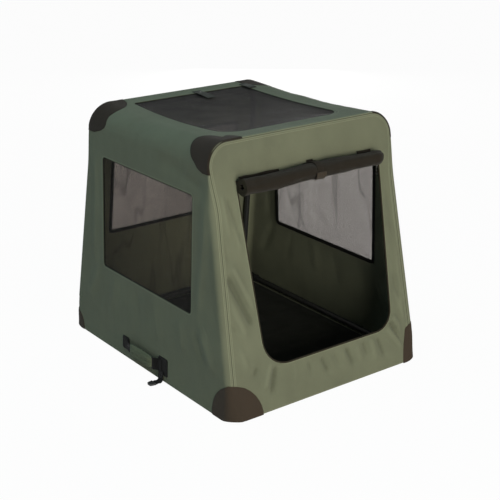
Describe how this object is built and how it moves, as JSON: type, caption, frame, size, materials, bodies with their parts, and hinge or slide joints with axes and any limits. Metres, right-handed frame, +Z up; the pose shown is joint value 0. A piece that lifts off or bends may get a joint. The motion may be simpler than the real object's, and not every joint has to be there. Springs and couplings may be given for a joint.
{
  "type": "folding dog crate",
  "caption": "Soft-sided folding dog crate on hinged tube hoops, with mesh windows, a roll-up door, corner facings and a side carry handle, standing open.",
  "frame": {"origin": "middle of the underside of the floor, on the ground", "axes": "+Y to the rear along the crate, -Y the door end, +X to the right seen from the front, +Z up"},
  "size_m": [0.6628, 0.763, 0.6669],
  "materials": {
    "cover_cloth": "woven, matt",
    "corner_facing": "coated, matt",
    "webbing": "woven tape",
    "mesh": "open mesh",
    "mat": "felted",
    "grip_cloth": "woven, matt",
    "coated_steel": "powder coated",
    "moulded_plastic": "moulded",
    "bright_steel": "brushed"
  },
  "bodies": {
    "base": {"base_tray": "cover_cloth", "floor_mat": "mat", "base_tube_left": "coated_steel", "base_tube_right": "coated_steel", "base_tube_front": "coated_steel", "base_tube_rear": "coated_steel", "corner_fitting_front_left": "moulded_plastic", "corner_fitting_front_right": "moulded_plastic", "corner_fitting_rear_left": "moulded_plastic", "corner_fitting_rear_right": "moulded_plastic", "hinge_pin_front_left": "bright_steel", "hinge_pin_front_right": "bright_steel", "hinge_pin_rear_left": "bright_steel", "hinge_pin_rear_right": "bright_steel", "side_wall_left": "cover_cloth", "side_wall_right": "cover_cloth", "side_window_left": "mesh", "side_window_right": "mesh", "roof_panel": "cover_cloth", "roof_window": "mesh", "roof_tie_middle": "webbing", "roof_tie_right": "webbing", "top_patch_front_left": "corner_facing", "top_patch_front_right": "corner_facing", "top_patch_rear_left": "corner_facing", "top_patch_rear_right": "corner_facing", "bottom_patch_front_left": "corner_facing", "bottom_patch_front_right": "corner_facing", "bottom_patch_rear_left": "corner_facing", "bottom_patch_rear_right": "corner_facing", "handle_anchor_front": "webbing", "handle_anchor_rear": "webbing", "handle_web_front": "webbing", "handle_web_rear": "webbing", "closing_strap": "webbing"},
    "front_hoop": {"front_hoop_tube": "coated_steel", "knuckle_front_left": "moulded_plastic", "knuckle_front_right": "moulded_plastic", "front_panel": "cover_cloth", "door_roll": "corner_facing", "door_tie": "webbing", "door_tie_tab": "corner_facing", "door_zip_left": "webbing", "door_zip_right": "webbing"},
    "rear_hoop": {"rear_hoop_tube": "coated_steel", "knuckle_rear_left": "moulded_plastic", "knuckle_rear_right": "moulded_plastic", "rear_panel": "cover_cloth", "rear_window": "mesh"},
    "lock_button_front_left": {"lock_button_front_left": "bright_steel"},
    "lock_button_front_right": {"lock_button_front_right": "bright_steel"},
    "lock_button_rear_left": {"lock_button_rear_left": "bright_steel"},
    "lock_button_rear_right": {"lock_button_rear_right": "bright_steel"},
    "zip_slider_left": {"zip_slider_left": "bright_steel"},
    "zip_pull_left": {"zip_pull_left": "bright_steel"},
    "zip_slider_right": {"zip_slider_right": "bright_steel"},
    "zip_pull_right": {"zip_pull_right": "bright_steel"},
    "handle_grip": {"handle_grip": "grip_cloth"},
    "strap_buckle": {"strap_buckle": "moulded_plastic"}
  },
  "joints": [
    {"name": "front_hoop_fold", "type": "hinge", "parent": "base", "child": "front_hoop", "pos_m": [0, -0.34595, 0.085], "axis": [-1, 0, 0], "range_deg": [0, 77.79], "deforming": ["side_wall_left", "side_wall_right", "side_window_left", "side_window_right", "roof_panel", "roof_window", "roof_tie_middle", "roof_tie_right", "top_patch_front_left", "top_patch_front_right", "front_panel", "door_roll", "door_tie", "door_tie_tab", "door_zip_left", "door_zip_right"]},
    {"name": "rear_hoop_fold", "type": "hinge", "parent": "base", "child": "rear_hoop", "pos_m": [0, 0.35437, 0.05], "axis": [1, 0, 0], "range_deg": [0, 83.2], "deforming": ["top_patch_rear_left", "top_patch_rear_right", "rear_panel", "rear_window"]},
    {"name": "press_front_left", "type": "slide", "parent": "base", "child": "lock_button_front_left", "axis": [-1, 0, 0], "range_m": [0, 0.0028], "stiffness_N_per_m": 1200},
    {"name": "press_front_right", "type": "slide", "parent": "base", "child": "lock_button_front_right", "axis": [1, 0, 0], "range_m": [0, 0.0028], "stiffness_N_per_m": 1200},
    {"name": "press_rear_left", "type": "slide", "parent": "base", "child": "lock_button_rear_left", "axis": [-1, 0, 0], "range_m": [0, 0.0028], "stiffness_N_per_m": 1200},
    {"name": "press_rear_right", "type": "slide", "parent": "base", "child": "lock_button_rear_right", "axis": [1, 0, 0], "range_m": [0, 0.0028], "stiffness_N_per_m": 1200},
    {"name": "zip_run_left", "type": "slide", "parent": "front_hoop", "child": "zip_slider_left", "axis": [0.0577, -0.1873, -0.9806], "range_m": [0, 0.3377]},
    {"name": "pull_swing_left", "type": "hinge", "parent": "zip_slider_left", "child": "zip_pull_left", "pos_m": [-0.21559, -0.2689, 0.52708], "axis": [1, 0, 0], "range_deg": [-8, 100]},
    {"name": "zip_run_right", "type": "slide", "parent": "front_hoop", "child": "zip_slider_right", "axis": [-0.0186, -0.1876, -0.9821], "range_m": [0, 0.3372]},
    {"name": "pull_swing_right", "type": "hinge", "parent": "zip_slider_right", "child": "zip_pull_right", "pos_m": [0.23978, -0.26891, 0.52707], "axis": [1, 0, 0], "range_deg": [-8, 100]},
    {"name": "grip_draw", "type": "slide", "parent": "base", "child": "handle_grip", "axis": [-1, 0, 0], "range_m": [0, 0.018], "deforming": ["handle_web_front", "handle_web_rear"]},
    {"name": "buckle_swing", "type": "hinge", "parent": "base", "child": "strap_buckle", "pos_m": [-0.3358, -0.078, 0.0025], "axis": [0, 1, 0], "range_deg": [0, 80]}
  ],
  "couplings": [
    {"joint": "rear_hoop_fold", "follows": "front_hoop_fold", "ratio": 1.0682}
  ]
}
